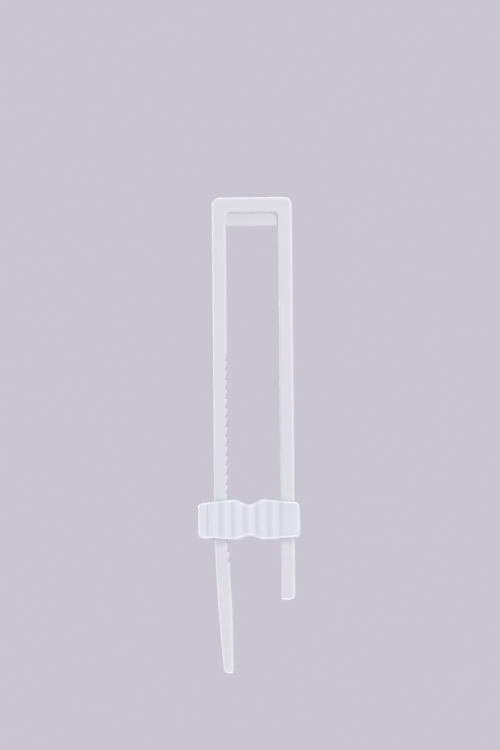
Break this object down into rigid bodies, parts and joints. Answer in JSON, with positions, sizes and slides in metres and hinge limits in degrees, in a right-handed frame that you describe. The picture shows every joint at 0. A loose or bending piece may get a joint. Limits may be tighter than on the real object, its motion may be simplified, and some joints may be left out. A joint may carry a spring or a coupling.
{
  "type": "cabinet slide lock",
  "caption": "U-shaped cabinet slide lock: a bow with a ratchet leg goes through two handles, and a rippled slider with a side release button closes it.",
  "frame": {"origin": "middle of the web's lower edge, half way through the bow's depth, where the gap between the legs begins and the lock hangs on a handle", "axes": "+Z along the legs towards the closed end, X across the legs with the ratchet leg at -X and the short leg at +X, -Y to the rippled front of the slider"},
  "size_m": [0.0417, 0.014, 0.1952],
  "materials": {
    "bow_plastic": "white moulded plastic, satin gloss",
    "housing_plastic": "white moulded plastic, satin gloss",
    "button_plastic": "white moulded plastic, satin gloss",
    "pawl_plastic": "natural white bearing plastic",
    "spring_steel": "bright spring wire",
    "screw_steel": "zinc plated"
  },
  "bodies": {
    "bow": {"bow": "bow_plastic"},
    "housing": {"housing_front": "housing_plastic", "housing_back": "housing_plastic", "cover_screws": "screw_steel", "return_spring": "spring_steel"},
    "button": {"release_button": "button_plastic", "pawl": "pawl_plastic"}
  },
  "joints": [
    {"name": "housing_slide", "type": "slide", "parent": "bow", "child": "housing", "axis": [0, 0, 1], "range_m": [-0.0438, 0.0663], "deforming": ["pawl"]},
    {"name": "button_press", "type": "slide", "parent": "housing", "child": "button", "axis": [1, 0, 0], "range_m": [0, 0.0025], "stiffness_N_per_m": 400, "springref_m": -0.003, "deforming": ["return_spring"]}
  ]
}
